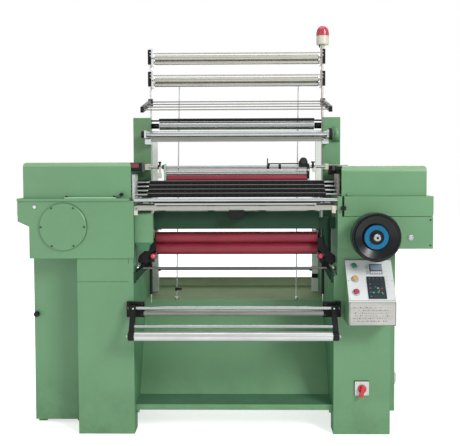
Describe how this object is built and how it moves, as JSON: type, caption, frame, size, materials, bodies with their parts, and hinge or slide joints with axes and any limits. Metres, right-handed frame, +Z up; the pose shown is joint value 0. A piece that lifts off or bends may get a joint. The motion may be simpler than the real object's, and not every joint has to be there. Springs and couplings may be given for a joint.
{
  "type": "crochet knitting machine",
  "caption": "Floor-standing flatbed knitting machine with hooded gear housings on side legs, yarn-laying bars, nip rollers, a swinging take-up roller and a tall yarn creel.",
  "frame": {"origin": "on the floor under the middle of the machine's overall box", "axes": "+X to the machine's right as its front is seen, +Y to the back, +Z up; the operator stands at -Y"},
  "size_m": [1.9, 1.04, 1.932],
  "materials": {
    "green_paint": "satin sprayed machine paint",
    "dark_green_paint": "satin dark machine paint",
    "cream_paint": "satin cream paint",
    "steel": "turned and brushed",
    "chrome_plate": "polished plating",
    "black_paint": "black satin paint and blued steel",
    "black_gloss": "moulded gloss",
    "belt_rubber": "ribbed belt rubber",
    "panel_sheet": "pale panel sheet",
    "green_plastic": "moulded lens",
    "amber_plastic": "moulded lens",
    "red_plastic": "moulded",
    "dome_plastic": "translucent ribbed dome",
    "cable_sheath": "twisted sheath",
    "crimson_rubber": "smooth ground rubber",
    "knob_plastic": "moulded ball",
    "drum_paint": "dark red paint",
    "motor_paint": "ribbed casting",
    "device_plastic": "moulded housings"
  },
  "bodies": {
    "frame": {"left_leg": "green_paint", "right_leg": "green_paint", "base_tray": "green_paint", "left_cabinet": "green_paint", "motor": "motor_paint", "drive_belt": "belt_rubber", "drive_panel": "device_plastic", "left_housing": "green_paint", "round_cover": "green_paint", "right_housing": "green_paint", "console": "green_paint", "panel_plates": "panel_sheet", "columns": "green_paint", "rear_uprights": "cream_paint", "creel_posts": "steel", "creel_brackets": "black_paint", "creel_rods": "chrome_plate", "feed_brackets": "steel", "beacon_base": "cream_paint", "beacon_dome": "dome_plastic", "beacon_cable": "cable_sheath", "head_rod": "chrome_plate", "head_brackets": "black_paint", "bed_beam": "dark_green_paint", "bed_rails": "cream_paint", "side_boxes": "green_paint", "takeup_frame": "black_paint", "dancer_frame": "black_paint"},
    "cabinet_door": {"cabinet_door": "green_paint"},
    "side_door": {"side_door": "green_paint"},
    "left_hood": {"left_hood": "green_paint"},
    "right_hood": {"right_hood": "green_paint"},
    "cross_shaft": {"cross_shaft": "black_paint"},
    "motor_pulley": {"motor_pulley": "steel"},
    "handwheel": {"handwheel": "black_gloss"},
    "pattern_drum": {"pattern_drum": "drum_paint"},
    "bed_knob": {"bed_knob": "black_gloss"},
    "green_button": {"green_button": "green_plastic"},
    "amber_button": {"amber_button": "amber_plastic"},
    "red_button": {"red_button": "red_plastic"},
    "switch_knob": {"switch_knob": "red_plastic"},
    "creel_roller_upper": {"creel_roller_upper": "chrome_plate"},
    "creel_roller_lower": {"creel_roller_lower": "chrome_plate"},
    "feed_roller_rear": {"feed_roller_rear": "chrome_plate"},
    "feed_roller_front": {"feed_roller_front": "chrome_plate"},
    "warp_roller": {"warp_roller": "crimson_rubber"},
    "press_roller": {"press_roller": "chrome_plate"},
    "weft_carriage": {"weft_carriage": "cream_paint"},
    "weft_bar_1": {"weft_bar_1": "black_paint"},
    "weft_bar_2": {"weft_bar_2": "black_paint"},
    "weft_bar_3": {"weft_bar_3": "black_paint"},
    "weft_bar_4": {"weft_bar_4": "black_paint"},
    "needle_bar": {"needle_bar": "steel"},
    "warp_bar": {"warp_bar": "steel"},
    "takeup_roller_lower": {"takeup_roller_lower": "crimson_rubber"},
    "takeup_roller_upper": {"takeup_roller_upper": "crimson_rubber"},
    "takeup_knob_left": {"takeup_knob_left": "knob_plastic"},
    "takeup_knob_right": {"takeup_knob_right": "knob_plastic"},
    "dancer_arms": {"dancer_arms": "black_paint"},
    "dancer_roller": {"dancer_roller": "steel"}
  },
  "joints": [
    {"name": "cabinet_door_hinge", "type": "hinge", "parent": "frame", "child": "cabinet_door", "pos_m": [-0.685, -0.22, 0.4], "axis": [0, 0, 1], "range_deg": [0, 90]},
    {"name": "side_door_hinge", "type": "hinge", "parent": "frame", "child": "side_door", "pos_m": [0.804, 0.482, 0.45], "axis": [0, 0, 1], "range_deg": [0, 110]},
    {"name": "left_hood_hinge", "type": "hinge", "parent": "frame", "child": "left_hood", "pos_m": [-0.928, -0.22, 1.0965], "axis": [0, -1, 0], "range_deg": [0, 80]},
    {"name": "right_hood_hinge", "type": "hinge", "parent": "frame", "child": "right_hood", "pos_m": [0.924, -0.22, 1.1025], "axis": [0, 1, 0], "range_deg": [0, 80]},
    {"name": "cross_shaft_turn", "type": "hinge", "parent": "frame", "child": "cross_shaft", "pos_m": [0.04, 0.305, 0.672], "axis": [1, 0, 0], "continuous": true},
    {"name": "motor_pulley_turn", "type": "hinge", "parent": "frame", "child": "motor_pulley", "pos_m": [-0.723, 0.08, 0.17], "axis": [1, 0, 0], "continuous": true},
    {"name": "handwheel_turn", "type": "hinge", "parent": "frame", "child": "handwheel", "pos_m": [0.669, -0.45, 0.9275], "axis": [0, 1, 0], "continuous": true},
    {"name": "pattern_drum_turn", "type": "hinge", "parent": "frame", "child": "pattern_drum", "pos_m": [-0.634, -0.274, 1.18], "axis": [0, 1, 0], "continuous": true},
    {"name": "bed_knob_turn", "type": "hinge", "parent": "frame", "child": "bed_knob", "pos_m": [0.541, -0.36, 1.049], "axis": [0, 1, 0], "range_deg": [-180, 180]},
    {"name": "green_button_press", "type": "slide", "parent": "frame", "child": "green_button", "axis": [0, 0.7917, -0.6109], "range_m": [0, 0.004], "stiffness_N_per_m": 400},
    {"name": "amber_button_press", "type": "slide", "parent": "frame", "child": "amber_button", "axis": [0, 0.7917, -0.6109], "range_m": [0, 0.004], "stiffness_N_per_m": 400},
    {"name": "red_button_press", "type": "slide", "parent": "frame", "child": "red_button", "axis": [0, 0.7917, -0.6109], "range_m": [0, 0.004], "stiffness_N_per_m": 400},
    {"name": "main_switch_turn", "type": "hinge", "parent": "frame", "child": "switch_knob", "pos_m": [0.63, -0.37, 0.216], "axis": [0, 1, 0], "range_deg": [0, 90]},
    {"name": "creel_roller_upper_turn", "type": "hinge", "parent": "frame", "child": "creel_roller_upper", "pos_m": [0.055, -0.08, 1.774], "axis": [1, 0, 0], "continuous": true},
    {"name": "creel_roller_lower_turn", "type": "hinge", "parent": "frame", "child": "creel_roller_lower", "pos_m": [0.055, -0.08, 1.666], "axis": [1, 0, 0], "continuous": true},
    {"name": "feed_roller_rear_turn", "type": "hinge", "parent": "frame", "child": "feed_roller_rear", "pos_m": [0.055, -0.07, 1.4405], "axis": [1, 0, 0], "continuous": true},
    {"name": "feed_roller_front_turn", "type": "hinge", "parent": "frame", "child": "feed_roller_front", "pos_m": [0.055, -0.17, 1.3955], "axis": [1, 0, 0], "continuous": true},
    {"name": "warp_roller_turn", "type": "hinge", "parent": "frame", "child": "warp_roller", "pos_m": [0.055, -0.19, 1.181], "axis": [1, 0, 0], "continuous": true},
    {"name": "press_roller_turn", "type": "hinge", "parent": "frame", "child": "press_roller", "pos_m": [0.055, -0.19, 1.2076], "axis": [1, 0, 0], "continuous": true},
    {"name": "weft_lift", "type": "slide", "parent": "frame", "child": "weft_carriage", "axis": [0, 0, 1], "range_m": [0, 0.012]},
    {"name": "weft_shog_1", "type": "slide", "parent": "weft_carriage", "child": "weft_bar_1", "axis": [1, 0, 0], "range_m": [-0.01, 0.01]},
    {"name": "weft_shog_2", "type": "slide", "parent": "weft_carriage", "child": "weft_bar_2", "axis": [1, 0, 0], "range_m": [-0.01, 0.01]},
    {"name": "weft_shog_3", "type": "slide", "parent": "weft_carriage", "child": "weft_bar_3", "axis": [1, 0, 0], "range_m": [-0.01, 0.01]},
    {"name": "weft_shog_4", "type": "slide", "parent": "weft_carriage", "child": "weft_bar_4", "axis": [1, 0, 0], "range_m": [-0.01, 0.01]},
    {"name": "needle_bar_slide", "type": "slide", "parent": "frame", "child": "needle_bar", "axis": [0, 1, 0], "range_m": [-0.008, 0.008]},
    {"name": "warp_bar_slide", "type": "slide", "parent": "frame", "child": "warp_bar", "axis": [1, 0, 0], "range_m": [-0.003, 0.003]},
    {"name": "takeup_roller_lower_turn", "type": "hinge", "parent": "frame", "child": "takeup_roller_lower", "pos_m": [0.055, -0.23, 0.8486], "axis": [1, 0, 0], "continuous": true},
    {"name": "takeup_roller_upper_turn", "type": "hinge", "parent": "frame", "child": "takeup_roller_upper", "pos_m": [0.055, -0.23, 0.903], "axis": [1, 0, 0], "continuous": true},
    {"name": "takeup_knob_left_turn", "type": "hinge", "parent": "frame", "child": "takeup_knob_left", "pos_m": [-0.336, -0.28, 0.8226], "axis": [0, 1, 0], "range_deg": [-180, 180]},
    {"name": "takeup_knob_right_turn", "type": "hinge", "parent": "frame", "child": "takeup_knob_right", "pos_m": [0.446, -0.28, 0.8226], "axis": [0, 1, 0], "range_deg": [-180, 180]},
    {"name": "dancer_swing", "type": "hinge", "parent": "frame", "child": "dancer_arms", "pos_m": [0.04, -0.4, 0.597], "axis": [1, 0, 0], "range_deg": [-25, 20]},
    {"name": "dancer_roller_turn", "type": "hinge", "parent": "dancer_arms", "child": "dancer_roller", "pos_m": [0.04, -0.4797, 0.4873], "axis": [1, 0, 0], "continuous": true}
  ],
  "couplings": [
    {"joint": "motor_pulley_turn", "follows": "cross_shaft_turn", "ratio": 2.5},
    {"joint": "handwheel_turn", "follows": "cross_shaft_turn", "ratio": -1},
    {"joint": "pattern_drum_turn", "follows": "cross_shaft_turn", "ratio": 0.0833},
    {"joint": "press_roller_turn", "follows": "warp_roller_turn", "ratio": -1.8478},
    {"joint": "takeup_roller_upper_turn", "follows": "takeup_roller_lower_turn", "ratio": -1}
  ]
}
